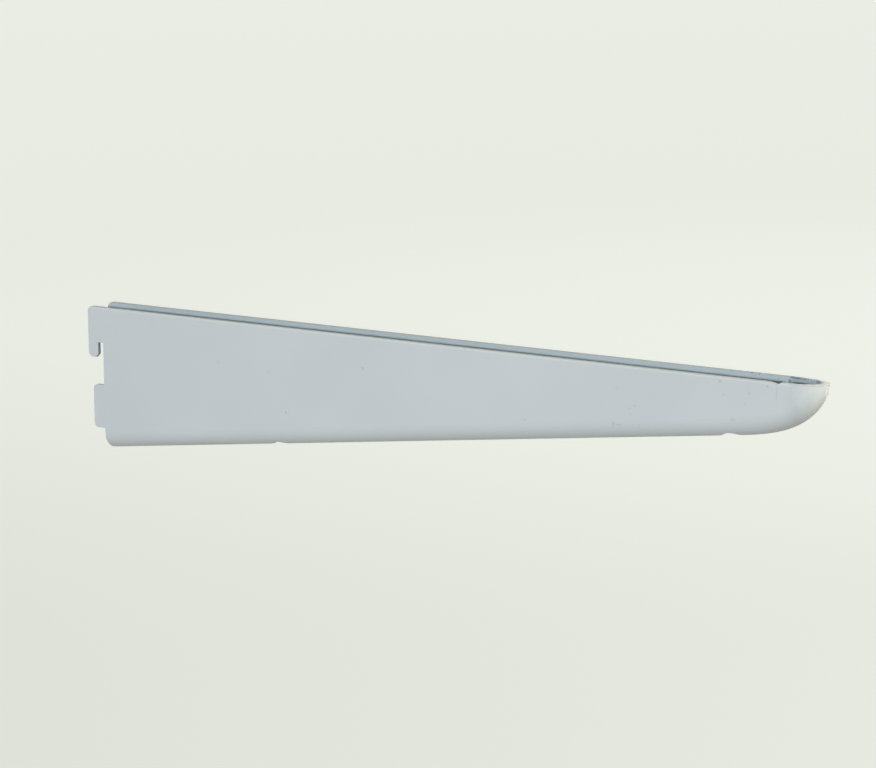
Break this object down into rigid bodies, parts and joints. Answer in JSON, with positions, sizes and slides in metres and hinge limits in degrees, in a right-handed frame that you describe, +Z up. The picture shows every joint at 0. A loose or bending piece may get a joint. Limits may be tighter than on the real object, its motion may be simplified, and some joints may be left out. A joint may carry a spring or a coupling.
{
  "type": "slotted shelf bracket",
  "caption": "Folded sheet-steel shelf bracket: a tapering round-bottomed channel with a closed pressed nose, rear hooks for a slotted upright and screw holes in its bottom.",
  "frame": {"origin": "on the rear bearing edge, half way between the walls, level with the shelf edges", "axes": "+X out from the upright along the bracket, +Y across it, +Z up"},
  "size_m": [0.2677, 0.0118, 0.049],
  "materials": {
    "powder_coat": "pale grey powder coat, satin"
  },
  "bodies": {
    "root": {"bracket": "powder_coat"}
  },
  "joints": []
}
